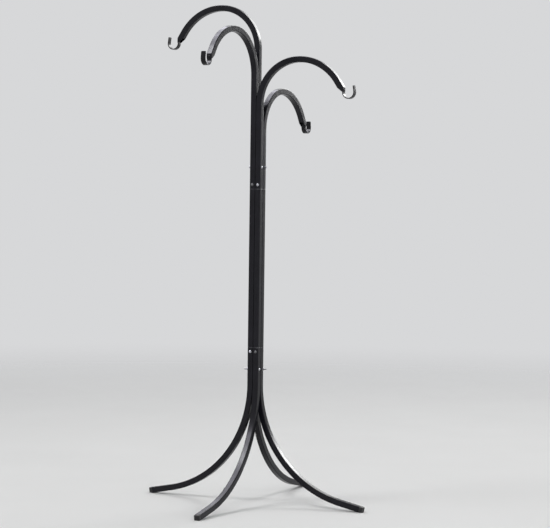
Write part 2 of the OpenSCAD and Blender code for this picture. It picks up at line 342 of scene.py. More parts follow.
# %% [markdown]
# ## The finishes themselves
#
# Each finish is a Principled BSDF that the groups feed. The tube's paint is a blue-black
# gloss. The hooks have the same paint, a little thinner and duller because it was sprayed into
# their bends. One function makes both, so that they stay related.

# %% Helpers for finishes
DUST_COLOUR = (0.32, 0.30, 0.27, 1)
# Painted highlight and rubbed paint: the light colour of the band round each junction.
BARE_STEEL_AND_HIGHLIGHT = (0.16, 0.16, 0.17, 1)


def group(tree, shared, inputs):
    """Places a shared group in a material with its own values, and gives its first output."""
    return put(tree, "ShaderNodeGroup", inputs, node_tree=shared).outputs[0]


def mix_colour(tree, factor, first, second):
    inputs = {0: factor, 6: first, 7: second}
    return put(tree, "ShaderNodeMix", inputs, data_type="RGBA").outputs[2]


def new_material(name):
    """A material whose tree is still empty, and that tree."""
    material = bpy.data.materials.new(name)
    material.use_nodes = True
    material.node_tree.nodes.clear()
    return material, material.node_tree


def finish_with(tree, colour, rough, height, bump, plain):
    """Ends a material in its Principled BSDF. The bump is (strength, distance in metres)."""
    inputs = {"Strength": bump[0], "Distance": bump[1], "Height": height}
    normal = put(tree, "ShaderNodeBump", inputs).outputs[0]
    inputs = {"Base Color": colour, "Roughness": rough, "Normal": normal} | plain
    surface = put(tree, "ShaderNodeBsdfPrincipled", inputs)
    put(tree, "ShaderNodeOutputMaterial", {"Surface": surface.outputs[0]})


print("helpers: group, mix_colour, new_material, finish_with")

# %% Black paint of the tubes and of the hooks
SHINE = 0.22
JOINT_RUB_AND_HIGHLIGHT = 0.0016
DUST_DULLS = 0.9


def black_paint(name, thick, thin, gloss, dimple, dust, rubbed_and_lit_at=()):
    """Paint whose colour drifts from thick to thin and whose roughness spans the gloss pair."""
    material, tree = new_material(name)
    drift = group(tree, CLOUDS, {"Size": 0.045})
    body = mix_colour(tree, drift, thick, thin)
    settled = group(tree, DUST, {"Amount": dust, "Speck Size": 0.0009})
    colour = mix_colour(tree, settled, body, DUST_COLOUR)
    # Painted highlight: a light band round each junction, partly rubbed paint, partly the joint
    # edge's highlight.
    for height in rubbed_and_lit_at:
        bare_and_lit = group(tree, RUB_AND_HIGHLIGHT_LINE, {"Height": height, "Reach": JOINT_RUB_AND_HIGHLIGHT, "Patch Size": 0.012})
        colour = mix_colour(tree, bare_and_lit, colour, BARE_STEEL_AND_HIGHLIGHT)
    sheen = group(tree, CLOUDS, {"Size": 0.016, "Low": gloss[0], "High": gloss[1]})
    rough = math_node(tree, "MULTIPLY", settled, DUST_DULLS)
    rough = math_node(tree, "ADD", sheen, rough, clamp=True)
    skin = group(tree, PEEL, {"Dimple Size": dimple, "Ripple Size": 0.018, "Ripple": 2.0})
    finish_with(tree, colour, rough, skin, (0.35, 0.00008), {"Specular IOR Level": SHINE})
    return material


tube_paint = black_paint(
    "black_gloss_paint",
    thick=(0.0055, 0.0052, 0.0080, 1),
    thin=(0.0100, 0.0095, 0.0140, 1),
    gloss=(0.18, 0.27),
    dimple=0.0022,
    dust=0.04,
    rubbed_and_lit_at=(LOWER_JOINT, UPPER_JOINT),
)
hook_paint = black_paint(
    "black_hook_paint",
    thick=(0.0055, 0.0055, 0.0070, 1),
    thin=(0.0110, 0.0105, 0.0130, 1),
    gloss=(0.18, 0.30),
    dimple=0.0016,
    dust=0.04,
)
print("finishes:", tube_paint.name, hook_paint.name)

# %% [markdown]
# Zinc plating is bright, a little blue, and mottled where its crystals catch the light.
# Small Voronoi cells stand for the crystals, and they change only the colour and the gloss.
# The material also darkens and roughens a seeded share of the bolts, partly as outdoor tarnish
# and partly as painted shade that keeps some heads dim where others shine. Each bolt carries
# that share as an attribute, and the tree that sets the bolts on their seats writes it.

# %% Zinc of the bolts, nuts and washers
CRYSTALS_PER_METRE = 1400.0
zinc, tree = new_material("zinc_plate")
inputs = {"Vector": own_place(tree), "Scale": CRYSTALS_PER_METRE}
cells = put(tree, "ShaderNodeTexVoronoi", inputs)
crystal = put(tree, "ShaderNodeSeparateColor", {0: cells.outputs["Color"]}).outputs[0]
wear = put(tree, "ShaderNodeAttribute", attribute_name="wear").outputs["Fac"]
clean = mix_colour(tree, crystal, (0.38, 0.38, 0.41, 1), (0.50, 0.50, 0.53, 1))
dull = spread(tree, wear, 0.2, 0.8, 0.0, 1.0)
# Painted shade: the seeded share turns a bolt into a dark, rough copy of the zinc, partly tarnish.
tarnished_and_shaded = mix_colour(tree, dull, clean, (0.15, 0.15, 0.155, 1))
settled = group(tree, DUST, {"Amount": 0.12, "Speck Size": 0.0006})
film = group(tree, CLOUDS, {"Size": 0.004, "Low": 0.20, "High": 0.32})
glint = math_node(tree, "MULTIPLY_ADD", crystal, 0.05, film)
skin = group(tree, PEEL, {"Dimple Size": 0.0005, "Ripple Size": 0.003, "Ripple": 0.5})
colour = mix_colour(tree, settled, tarnished_and_shaded, DUST_COLOUR)
rough = math_node(tree, "MULTIPLY_ADD", dull, 0.25, glint)
finish_with(tree, colour, rough, skin, (0.2, 0.00002), {"Metallic": 1.0})
print("finish:", zinc.name)

# %% [markdown]
# The feet are moulded from black plastic with the faint grain of a spark-eroded mould. It is
# duller than the paint, and grey where it has rubbed on the ground. The group that draws the
# band at the junctions makes that mask, at height 0 and with finer patches.

# %% Plastic of the feet
GROUND_RUB = 0.004
foot_plastic, tree = new_material("moulded_foot_plastic")
rubbed = group(tree, RUB_AND_HIGHLIGHT_LINE, {"Reach": GROUND_RUB, "Patch Size": 0.002, "Least": 0.2})
settled = group(tree, DUST, {"Amount": 0.15, "Speck Size": 0.0008})
moulded = mix_colour(tree, settled, (0.016, 0.016, 0.017, 1), DUST_COLOUR)
grain = group(tree, PEEL, {"Dimple Size": 0.0006, "Ripple Size": 0.006, "Ripple": 0.6})
colour = mix_colour(tree, rubbed, moulded, (0.10, 0.10, 0.095, 1))
rough = group(tree, CLOUDS, {"Size": 0.008, "Low": 0.48, "High": 0.62})
finish_with(tree, colour, rough, grain, (0.5, 0.00006), {"Specular IOR Level": 0.4})
print("finish:", foot_plastic.name)

# %% [markdown]
# ## Paths
#
# Every long piece of the stand is one section carried along a path of straights and bends, the
# way a tube bender makes it. A walker keeps its place, its heading and the side that it bends
# to, so each piece reads like a bending plan. The points become a mesh of plain edges, and
# small marks travel with them: how far the section shrinks, how far it narrows, and how far
# its mouth is cut back.

# %% A walker that draws the paths
BEND_STEP = 2.0
MARKS = {"section_scale": 1.0, "across_scale": 1.0, "cut_back": 0.0}


class Walker:
    """Walks straights and bends in one plane and leaves points behind."""

    def __init__(self, place, heading, side):
        self.place, self.heading, self.side = place, heading, side
        self.across = heading.cross(side)
        self.points, self.sides, self.marks = [place], [side], [{}]

    def leave_point(self, **marks):
        self.points.append(self.place)
        self.sides.append(self.side)
        self.marks.append(marks)
        return self

    def straight(self, length, **marks):
        self.place = self.place + self.heading * length
        return self.leave_point(**marks)

    def bend(self, radius, degrees):
        """Turns towards the side, or away from it when the radius is negative."""
        centre = self.place + self.side * radius
        heading, side = self.heading, self.side
        steps = math.ceil(degrees / BEND_STEP)
        for step in range(1, steps + 1):
            angle = math.copysign(math.radians(degrees * step / steps), radius)
            self.heading = heading * math.cos(angle) + side * math.sin(angle)
            self.side = side * math.cos(angle) - heading * math.sin(angle)
            self.place = centre - self.side * radius
            self.leave_point()
        return self

    def mesh(self, name):
        mesh = bpy.data.meshes.new(name)
        mesh.from_pydata(self.points, [(i, i + 1) for i in range(len(self.points) - 1)], [])
        for mark, plain in MARKS.items():
            values = mesh.attributes.new(mark, "FLOAT", "POINT").data
            values.foreach_set("value", [marks.get(mark, plain) for marks in self.marks])
        return mesh


def outward(direction):
    """The way that an arm or a leg leaves the column."""
    angle = math.radians(DIRECTIONS[direction])
    return Vector((round(math.cos(angle)), round(math.sin(angle)), 0))


def tube_axis(direction, upward):
    """Where the line that an arm or a leg belongs to stands in the bundle, at height 0."""
    out = outward(direction)
    beside = Vector((-out.y, out.x, 0))
    return (out - beside if upward else out + beside) * TUBE_AXIS


print("walker ready, one point every", BEND_STEP, "degrees")

# %% [markdown]
# ## One tree for every swept bar
#
# A tube could be a beveled curve, or a cylinder bent with modifiers. Geometry Nodes do it in
# the open instead. Mesh to Curve takes the path, Set Curve Normal keeps the section level
# right round the bends, and Curve to Mesh carries a rounded rectangle along. A last Set
# Position reads the marks: it narrows a strip's tip and slants the cut of a tube's mouth.
#
# The section's X lies across the path, and its Y points away from the side the bar bends to.

# %% Helpers for geometry trees
def remember(tree, geometry, name, value, kind="FLOAT"):
    """Stores a field under a name, so that a later node or a material can read it."""
    inputs = {"Geometry": geometry, "Name": name, "Value": value}
    return put(tree, "GeometryNodeStoreNamedAttribute", inputs, data_type=kind).outputs[0]


def recall(tree, name, kind="FLOAT"):
    node = put(tree, "GeometryNodeInputNamedAttribute", {"Name": name}, data_type=kind)
    return node.outputs["Attribute"]


def scaled(tree, vector, factor):
    inputs = {0: vector, "Scale": factor}
    return put(tree, "ShaderNodeVectorMath", inputs, operation="SCALE").outputs[0]


def finish_tree(tree, geometry, material, output):
    """Ends a tree: copies become real geometry, and it all gets its material."""
    real = put(tree, "GeometryNodeRealizeInstances", {0: geometry}).outputs[0]
    inputs = {"Geometry": real, "Material": material}
    put(tree, "NodeGroupOutput", {output: put(tree, "GeometryNodeSetMaterial", inputs).outputs[0]})


print("helpers: remember, recall, scaled, finish_tree")

# %% Geometry tree: swept bar
SWEEP, given = new_tree(
    "Swept bar",
    "GeometryNodeTree",
    {
        "Path": "Geometry",
        "Width": ("Float", 0.02),
        "Depth": ("Float", 0.02),
        "Corner Radius": ("Float", 0.002),
        "Corner Steps": ("Int", 4),
        "Across": "Vector",
        "Uncut Depth": ("Float", 0.0),
        "Closed Ends": ("Bool", False),
        "Material": "Material",
    },
    {"Bar": "Geometry"},
)
path = put(SWEEP, "GeometryNodeMeshToCurve", {0: given["Path"]}).outputs[0]
inputs = {"Curve": path, "Normal": given["Across"]}
path = put(SWEEP, "GeometryNodeSetCurveNormal", inputs, mode="FREE").outputs[0]
tangent = put(SWEEP, "GeometryNodeInputTangent").outputs[0]
path = remember(SWEEP, path, "along", tangent, "FLOAT_VECTOR")

inputs = {"Width": given["Width"], "Height": given["Depth"]}
section = put(SWEEP, "GeometryNodeCurvePrimitiveQuadrilateral", inputs).outputs[0]
inputs = {
    "Curve": section,
    "Count": given["Corner Steps"],
    "Radius": given["Corner Radius"],
    "Limit Radius": True,
}
section = put(SWEEP, "GeometryNodeFilletCurve", inputs, mode="POLY").outputs[0]
corner_place = put(SWEEP, "GeometryNodeInputPosition").outputs[0]
section = remember(SWEEP, section, "section_place", corner_place, "FLOAT_VECTOR")

inputs = {
    "Curve": path,
    "Profile Curve": section,
    "Scale": recall(SWEEP, "section_scale"),
    "Fill Caps": given["Closed Ends"],
}
bar = put(SWEEP, "GeometryNodeCurveToMesh", inputs).outputs[0]
inputs = {0: recall(SWEEP, "section_place", "FLOAT_VECTOR")}
in_section = put(SWEEP, "ShaderNodeSeparateXYZ", inputs).outputs
narrowing = math_node(SWEEP, "SUBTRACT", recall(SWEEP, "across_scale"), 1.0)
narrowing = math_node(SWEEP, "MULTIPLY", narrowing, in_section["X"])
sideways = scaled(SWEEP, given["Across"], narrowing)
half_depth = math_node(SWEEP, "DIVIDE", given["Depth"], 2.0)
slant = spread(
    SWEEP,
    in_section["Y"],
    math_node(SWEEP, "SUBTRACT", half_depth, given["Uncut Depth"]),
    math_node(SWEEP, "MULTIPLY", half_depth, -1.0),
    0.0,
    math_node(SWEEP, "MULTIPLY", recall(SWEEP, "cut_back"), -1.0),
)
backward = scaled(SWEEP, recall(SWEEP, "along", "FLOAT_VECTOR"), slant)
shift = put(SWEEP, "ShaderNodeVectorMath", {0: sideways, 1: backward}, operation="ADD").outputs[0]
bar = put(SWEEP, "GeometryNodeSetPosition", {"Geometry": bar, "Offset": shift}).outputs[0]
finish_tree(SWEEP, bar, given["Material"], "Bar")
print("tree:", SWEEP.name, "with", len(SWEEP.nodes), "nodes")

# %% [markdown]
# ## From a surface to a metal part
#
# The swept surface is only a skin. Solidify gives a tube its wall, inwards, so that the outer
# size stays true. Bevel breaks the sawn edges by three tenths of a millimetre, as deburring
# and paint do, and Weighted Normal keeps the flats flat under a gloss finish. The helper bakes
# all three into a plain mesh, and drops the marks that the tree needed.

# %% Helpers that turn a swept skin into a finished piece
EDGE = 0.0003
BEVEL_ANGLE = math.radians(50)


def sweep(name, walker, finish, width=TUBE, depth=TUBE, corner=CORNER, closed=False, uncut=0.0):
    """The bar that a walker's path makes, as a plain mesh."""
    piece = new_piece(name, walker.mesh(name))
    inputs = {"Width": width, "Depth": depth, "Corner Radius": corner, "Across": walker.across}
    inputs |= {"Uncut Depth": uncut, "Closed Ends": closed, "Material": finish}
    run_tree(piece, SWEEP, inputs)
    return freeze(piece)


def round_edges(piece, wall=None):
    """Gives a skin its wall, breaks its sharp edges and keeps its flats flat."""
    if wall:
        solidify = piece.modifiers.new("wall", "SOLIDIFY")
        solidify.thickness = wall
        solidify.offset = -1
        solidify.use_even_offset = True
    bevel = piece.modifiers.new("edge", "BEVEL")
    bevel.width = EDGE
    bevel.segments = 2
    bevel.limit_method = "ANGLE"
    bevel.angle_limit = BEVEL_ANGLE
    normals = piece.modifiers.new("normals", "WEIGHTED_NORMAL")
    normals.keep_sharp = True
    piece.data.shade_smooth()
    freeze(piece)
    for mark in [*MARKS, "along", "section_place"]:
        if mark in piece.data.attributes:
            piece.data.attributes.remove(piece.data.attributes[mark])
    return piece


def hand_over(piece, slot, *nodes):
    """Ties a finished piece to the frame: it rides on the body and stands for CAD nodes."""
    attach(piece, "root")
    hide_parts(*nodes)
    low = Vector([min(v.co[i] for v in piece.data.vertices) for i in range(3)])
    high = Vector([max(v.co[i] for v in piece.data.vertices) for i in range(3)])
    cad_low, cad_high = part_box(nodes[0])
    off = max(*map(abs, low - cad_low), *map(abs, high - cad_high))
    print(f"{piece.name}: {len(piece.data.polygons)} faces, box off by {off * 1000:.2f} mm")


print("edges are broken by", EDGE * 1000, "mm")


# %% [markdown]
# ## Arms
#
# An arm rises from the upper junction, turns over the top in two bends and ends in a slanting
# mouth. There its outer wall bends on until it hangs plumb, and with its two corners it makes
# a channel that the hook lies in. A cheek on each side carries the side wall down to the end
# of the cut. Made apart, channel and cheeks would leave seams, so they are grown from the skin:
# the rim's points are drawn out along the hook's own line, and one flat face fills each side.

# %% Walk an arm, its cut and its neck
def walk_arm(direction):
    """The arm's centreline, from the upper junction to the mouth."""
    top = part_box("arm_" + direction)[1].z
    start = tube_axis(direction, upward=True)
    start.z = UPPER_JOINT
    walker = Walker(start, Vector((0, 0, 1)), outward(direction))
    walker.straight(top - TUBE / 2 - RISE_R - UPPER_JOINT)
    walker.bend(RISE_R, 90).bend(FALL_R, FALL_ANGLE)
    return walker.straight(ARM_END, cut_back=MITRE)


def walk_neck(arm):
    """The line of the hook's strip, from the arm's mouth to the end of the outer wall."""
    strip = Walker(arm.place - arm.side * STRIP_OFFSET, arm.heading, arm.side)
    return strip.bend(NECK_R, NECK_ANGLE).straight(TONGUE)


def cut_end(arm):
    """Where the slanting cut ends: on the inner face of the hook's strip."""
    strip = walk_neck(arm)
    return strip.place + strip.side * HOOK_T / 2


def uncut_depth(arm):
    """How much of the tube's depth is still whole at the mouth, before the cut starts."""
    end = cut_end(arm) - arm.place
    inwards = TUBE / 2 - end.dot(arm.side)
    return TUBE - inwards * MITRE / (MITRE + end.dot(arm.heading))


print("an arm's path has", len(walk_arm("left").points), "points")
print(f"{uncut_depth(walk_arm('left')) * 1000:.1f} mm of the mouth is uncut")


# %% Grow the channel and the cheeks
NEAR = 0.00001


def turn_towards(face, way):
    """Makes a new face look this way."""
    face.normal_update()
    if face.normal.dot(way) < 0:
        face.normal_flip()


def grow_neck(piece, arm):
    """Draws the outer wall at the mouth out along the neck and adds a cheek on each side."""
    strip = walk_neck(arm)
    skin = bmesh.new()
    skin.from_mesh(piece.data)
    rim = {vert for edge in skin.edges if edge.is_boundary for vert in edge.verts}
    rim = [vert for vert in rim if (vert.co - arm.place).length < TUBE]
    depth = {vert: (vert.co - strip.points[0]).dot(arm.side) for vert in rim}
    breadth = {vert: (vert.co - arm.place).dot(arm.across) for vert in rim}
    corner_end = STRIP_OFFSET - TUBE / 2 + CORNER + NEAR
    rows = [sorted((v for v in rim if depth[v] < corner_end), key=breadth.get)]
    section = [(depth[v], breadth[v]) for v in rows[0]]
    for place, side in zip(strip.points[1:], strip.sides[1:]):
        row = [skin.verts.new(place + side * d + arm.across * b) for d, b in section]
        for i in range(len(row) - 1):
            face = skin.faces.new((rows[-1][i], rows[-1][i + 1], row[i + 1], row[i]))
            turn_towards(face, face.calc_center_median() - place)
        rows.append(row)
    for i, way in ((0, -1), (-1, 1)):
        flank = arm.across * way * TUBE / 2
        inner = max((v for v in rim if abs(breadth[v] * way - TUBE / 2) < NEAR), key=depth.get)
        edge = [row[i] for row in rows]
        turn_towards(skin.faces.new([*edge, skin.verts.new(cut_end(arm) + flank), inner]), flank)
    skin.to_mesh(piece.data)
    skin.free()


print("the neck turns by", NECK_ANGLE, "degrees")

# %% Make the four arms
arms = {direction: walk_arm(direction) for direction in DIRECTIONS}
for direction, arm in arms.items():
    piece = sweep("arm_tube_" + direction, arm, tube_paint, uncut=uncut_depth(arm))
    grow_neck(piece, arm)
    round_edges(piece, wall=WALL)
    hand_over(piece, "tube_paint", "arm_" + direction)

# %% [markdown]
# ## Middle tubes
#
# The four straight tubes of the column have reduced ends that slide into an arm above and a
# leg below. Squeezing a tube end leaves a short slope, not a step. It shows as the fine dark
# line round each junction. Two marked points on the path make it: the section scale changes
# between them.

# %% Make the four middle tubes
SLOPE = 0.0006
REDUCED = (TUBE - 2 * WALL - 2 * SLIDE_CLEAR) / TUBE
for x_name, x_side in (("left", -1), ("right", 1)):
    for y_name, y_side in (("front", -1), ("back", 1)):
        place = Vector((x_side * TUBE_AXIS, y_side * TUBE_AXIS, LOWER_JOINT - SPIGOT))
        post = Walker(place, Vector((0, 0, 1)), Vector((1, 0, 0)))
        post.marks[0]["section_scale"] = REDUCED
        post.straight(SPIGOT, section_scale=REDUCED)
        post.straight(SLOPE)
        post.straight(UPPER_JOINT - LOWER_JOINT - 2 * SLOPE)
        post.straight(SLOPE, section_scale=REDUCED)
        post.straight(SPIGOT, section_scale=REDUCED)
        piece = sweep(f"post_{y_name}_{x_name}", post, tube_paint)
        round_edges(piece, wall=WALL)
        hand_over(piece, "tube_paint", f"middle_tube_{y_name}_{x_name}")

# %% [markdown]
# ## Legs
#
# A leg is the simplest of the three: a straight, one long bend and a straight toe. It walks
# downwards, with its outward direction as the side that it bends to.

# %% Make the four legs
def walk_leg(direction):
    """The leg's centreline, from the lower junction down to its open end."""
    start = tube_axis(direction, upward=False)
    start.z = LOWER_JOINT
    walker = Walker(start, Vector((0, 0, -1)), outward(direction))
    return walker.straight(LEG_STRAIGHT).bend(LEG_R, LEG_ANGLE).straight(LEG_TOE)


legs = {direction: walk_leg(direction) for direction in DIRECTIONS}
for direction, leg in legs.items():
    piece = sweep("leg_tube_" + direction, leg, tube_paint)
    round_edges(piece, wall=WALL)
    hand_over(piece, "tube_paint", "leg_" + direction)

# %% [markdown]
# ## Foot plugs
#
# A plug closes each leg: a stub inside the tube, a flush cap outside it and a sole that sits
# flat on the ground. It is swept along the toe's own line with a shrinking section, which
# rounds its end, and then cut level at Z 0. Bisect opens the mesh there, so the cut is closed
# with one face before the edges are rounded.

# %% Make the four foot plugs
NOSE_R = 0.003
STUB_SCALE = (TUBE - 2 * WALL - 2 * PLUG_CLEAR) / TUBE


def round_tip(length, width, radius, steps=6):
    """Stations of a bar's last stretch: (distance along, half the width there)."""
    angles = [math.radians(90 * step / steps) for step in range(steps + 1)]
    return [
        (length - radius + radius * math.sin(a), width / 2 - radius * (1 - math.cos(a)))
        for a in angles
    ]


def cut_sole(piece):
    """Cuts a mesh level with the ground and closes it."""
    solid = bmesh.new()
    solid.from_mesh(piece.data)
    everything = [*solid.verts, *solid.edges, *solid.faces]
    ground = {"plane_co": (0, 0, 0), "plane_no": (0, 0, 1), "clear_inner": True}
    cut = bmesh.ops.bisect_plane(solid, geom=everything, **ground)["geom_cut"]
    rim = [item for item in cut if isinstance(item, bmesh.types.BMEdge)]
    bmesh.ops.contextual_create(solid, geom=rim)
    bmesh.ops.recalc_face_normals(solid, faces=solid.faces[:])
    solid.to_mesh(piece.data)
    solid.free()


for direction, leg in legs.items():
    inside = leg.place - leg.heading * PLUG_STUB
    plug = Walker(inside, leg.heading, leg.side)
    plug.marks[0]["section_scale"] = STUB_SCALE
    plug.straight(PLUG_STUB, section_scale=STUB_SCALE)
    plug.straight(SLOPE)
    end = plug.place + plug.heading * (PLUG - SLOPE - NOSE_R)
    for distance, half in round_tip(NOSE_R, TUBE, NOSE_R):
        plug.place = end + plug.heading * distance
        plug.leave_point(section_scale=2 * half / TUBE)
    piece = sweep("foot_cap_" + direction, plug, foot_plastic, closed=True)
    cut_sole(piece)
    round_edges(piece)
    hand_over(piece, "foot_plastic", "foot_plug_" + direction)

# %% [markdown]
# ## Hooks
#
# A hook is a flat strip with round edges. Its shank lies against the outer wall inside the arm,
# its neck turns plumb in the channel, and a bowl opens outwards for a basket's chain. The bowl
# turns a little past half a circle, so the outer limb leans in. The same tree sweeps it, with a
# flat section. Marks narrow the last few millimetres, which rounds the tip as a press would.

# %% Make the four hooks
def walk_hook(arm):
    """The hook's centreline, from inside the arm to the tip of its limb."""
    start = arm.place - arm.side * STRIP_OFFSET - arm.heading * SHANK
    walker = Walker(start, arm.heading, arm.side)
    walker.straight(SHANK).bend(NECK_R, NECK_ANGLE).straight(NECK)
    walker.bend(-BOWL_R - HOOK_T / 2, BOWL_ANGLE)
    bowl_end = walker.place
    for distance, half in round_tip(LIMB, HOOK_W, TIP_R):
        walker.place = bowl_end + walker.heading * distance
        walker.leave_point(across_scale=2 * half / HOOK_W)
    return walker


for direction, arm in arms.items():
    hook = walk_hook(arm)
    piece = sweep(
        "hook_strip_" + direction, hook, hook_paint, HOOK_W, HOOK_T, HOOK_EDGE, closed=True
    )
    round_edges(piece)
    hand_over(piece, "hook_paint", "hook_" + direction)

# %% [markdown]
# ## Turned parts
#
# Bolts and rivets come off a lathe or a header, so they start as an outline turned round Z.
# Blender's Spin or Screw would do it. A short loop is just as clear, and it closes the poles
# with triangles and keeps every face pointing outwards.

# %% A small lathe
SIDES = 32
SHARP_ANGLE = math.radians(38)


def end_bmesh(work, name):
    """A bmesh as a mesh of its own."""
    mesh = bpy.data.meshes.new(name)
    work.to_mesh(mesh)
    work.free()
    return mesh


def lathe(name, outline):
    """Turns (radius, height) points round Z, from the lowest on the axis to the highest."""
    turned = bmesh.new()
    rings = []
    for radius, height in outline:
        count = SIDES if radius > 0 else 1
        angles = [2 * math.pi * i / SIDES for i in range(count)]
        places = [(radius * math.cos(a), radius * math.sin(a), height) for a in angles]
        rings.append([turned.verts.new(place) for place in places])
    for low, high in zip(rings, rings[1:]):
        for i in range(SIDES):
            j = (i + 1) % SIDES
            below = (low[i % len(low)], low[j % len(low)])
            above = (high[j % len(high)], high[i % len(high)])
            turned.faces.new(dict.fromkeys(below + above))
    return end_bmesh(turned, name)


def dome(radius, rise, steps=8):
    """Outline of a spherical cap from its rim to its crown: (radius, height)."""
    ball = (radius**2 + rise**2) / (2 * rise)
    rim_angle = math.asin(radius / ball)
    angles = [rim_angle * (1 - i / steps) for i in range(steps + 1)]
    return [(ball * math.sin(a), ball * math.cos(a) - ball + rise) for a in angles]


def shade(mesh):
    """Smooth shading that keeps true edges sharp."""
    mesh.shade_smooth()
    mesh.set_sharp_from_angle(angle=SHARP_ANGLE)
    return mesh


print("a dome of 12 mm has", len(dome(0.006, 0.003)), "outline points")

# %% [markdown]
# ## Threads and places
#
# Two small trees finish the fasteners. The first cuts the thread: where a point is marked as
# threaded, it moves inwards by a wave that climbs one pitch for each turn round the axis.
# A helix swept with a tooth would do the same with many more faces.
#
# The second sets a fastener on every seat. Each point of the seat mesh carries the axis that
# its fastener lies on, and a seeded turn round that axis makes every slot point its own way,
# as a screwdriver leaves them. A second seeded number, for tarnish and painted shade, travels
# with each copy to its material.

# %% Geometry tree: thread
THREAD, given = new_tree(
    "Thread",
    "GeometryNodeTree",
    {
        "Blank": "Geometry",
        "Pitch": ("Float", 0.001),
        "Depth": ("Float", 0.0006),
        "Material": "Material",
    },
    {"Bolt": "Geometry"},
)
here = put(THREAD, "GeometryNodeInputPosition").outputs[0]
xyz = put(THREAD, "ShaderNodeSeparateXYZ", {0: here}).outputs
turns = math_node(THREAD, "DIVIDE", math_node(THREAD, "ARCTAN2", xyz["Y"], xyz["X"]), 2 * math.pi)
climb = math_node(THREAD, "DIVIDE", xyz["Z"], given["Pitch"])
tooth = math_node(THREAD, "PINGPONG", math_node(THREAD, "SUBTRACT", climb, turns), 0.5)
cut = math_node(THREAD, "MULTIPLY", tooth, math_node(THREAD, "MULTIPLY", given["Depth"], -2.0))
cut = math_node(THREAD, "MULTIPLY", cut, recall(THREAD, "threaded"))
flat = put(THREAD, "ShaderNodeCombineXYZ", {"X": xyz["X"], "Y": xyz["Y"]}).outputs[0]
radial = put(THREAD, "ShaderNodeVectorMath", {0: flat}, operation="NORMALIZE").outputs[0]
inputs = {"Geometry": given["Blank"], "Offset": scaled(THREAD, radial, cut)}
bolt = put(THREAD, "GeometryNodeSetPosition", inputs).outputs[0]
finish_tree(THREAD, bolt, given["Material"], "Bolt")
print("tree:", THREAD.name)

# %% Geometry tree: fasteners on their seats
SEATS, given = new_tree(
    "Fasteners on seats",
    "GeometryNodeTree",
    {
        "Seats": "Geometry",
        "Fastener": "Object",
        "Seed": ("Int", 1),
        "Wear Seed": ("Int", 1),
        "Material": "Material",
    },
    {"Fasteners": "Geometry"},
)


def seat_number(seed, high):
    """A seeded number from 0 to this, another one on each seat."""
    inputs = {2: 0.0, 3: high, "Seed": seed}
    return put(SEATS, "FunctionNodeRandomValue", inputs, data_type="FLOAT").outputs[1]


fastener = put(SEATS, "GeometryNodeObjectInfo", {"Object": given["Fastener"]}).outputs["Geometry"]
inputs = {"Vector": recall(SEATS, "axis", "FLOAT_VECTOR")}
aligned = put(SEATS, "FunctionNodeAlignRotationToVector", inputs, axis="Z").outputs[0]
inputs = {"Axis": (0, 0, 1), "Angle": seat_number(given["Seed"], 2 * math.pi)}
turn = put(SEATS, "FunctionNodeAxisAngleToRotation", inputs).outputs[0]
inputs = {"Rotation": aligned, "Rotate By": turn}
turned = put(SEATS, "FunctionNodeRotateRotation", inputs, rotation_space="LOCAL").outputs[0]
seats = remember(SEATS, given["Seats"], "wear", seat_number(given["Wear Seed"], 1.0))
inputs = {"Points": seats, "Instance": fastener, "Rotation": turned}
placed = put(SEATS, "GeometryNodeInstanceOnPoints", inputs).outputs[0]
finish_tree(SEATS, placed, given["Material"], "Fasteners")


def set_on_seats(name, fastener_mesh, seats, finish, seed, wear_and_shade_seed=1):
    """One piece that holds a copy of the fastener on each (place, axis) seat."""
    model = new_piece(name + "_model", fastener_mesh)
    points = bpy.data.meshes.new(name)
    points.from_pydata([place for place, axis in seats], [], [])
    axes = points.attributes.new("axis", "FLOAT_VECTOR", "POINT")
    axes.data.foreach_set("vector", [x for place, axis in seats for x in axis])
    piece = new_piece(name, points)
    inputs = {"Fastener": model, "Seed": seed, "Wear Seed": wear_and_shade_seed, "Material": finish}
    run_tree(piece, SEATS, inputs)
    freeze(piece)
    bpy.data.objects.remove(model)
    return piece


print("tree:", SEATS.name)

# %% [markdown]
# ## Bolts
#
# Each junction has four bolts with domed heads and a cross recess. Only the last stretch of a
# bolt is threaded, and the thread fades in over one pitch. The recess is cut with a Boolean:
# two crossed bars that narrow downwards, as the tip of a driver does.

# %% Sizes of the bolts
BOLT_R = 0.003
HEAD_R = 0.006
HEAD_H = 0.0036
HEAD_RIM = 0.0006
PITCH = 0.001
THREAD_DEPTH = 0.00055
THREADED = 0.020
POINT = 0.0008
RINGS_PER_PITCH = 6
RECESS_W = 0.0056
RECESS_SLOT = 0.0011
RECESS_DEPTH = 0.0018
RECESS_W_INSIDE = 0.55 * RECESS_W
RECESS_SLOT_INSIDE = 0.8 * RECESS_SLOT
BOLT_NEAR = 0.018
BOLT_FAR = 0.092
BOLT_LENGTHS = {"upper": 0.060, "lower": 0.070}
print("bolts:", {name: round(length * 1000) for name, length in BOLT_LENGTHS.items()}, "mm")


# %% Make a bolt
def recess_cutter():
    """Two crossed bars round the top of a head at Z -HEAD_H, narrower inside the head."""
    cutter = bmesh.new()
    for turn in (45, 135):
        bar = bmesh.ops.create_cube(cutter, size=1)["verts"]
        for vert in bar:
            inside = vert.co.z > 0
            vert.co.x *= RECESS_W_INSIDE if inside else RECESS_W
            vert.co.y *= RECESS_SLOT_INSIDE if inside else RECESS_SLOT
            vert.co.z = (RECESS_DEPTH if inside else -RECESS_DEPTH) - HEAD_H
        spin = Matrix.Rotation(math.radians(turn), 3, "Z")
        bmesh.ops.rotate(cutter, verts=bar, cent=(0, 0, 0), matrix=spin)
    return end_bmesh(cutter, "recess_cutter")


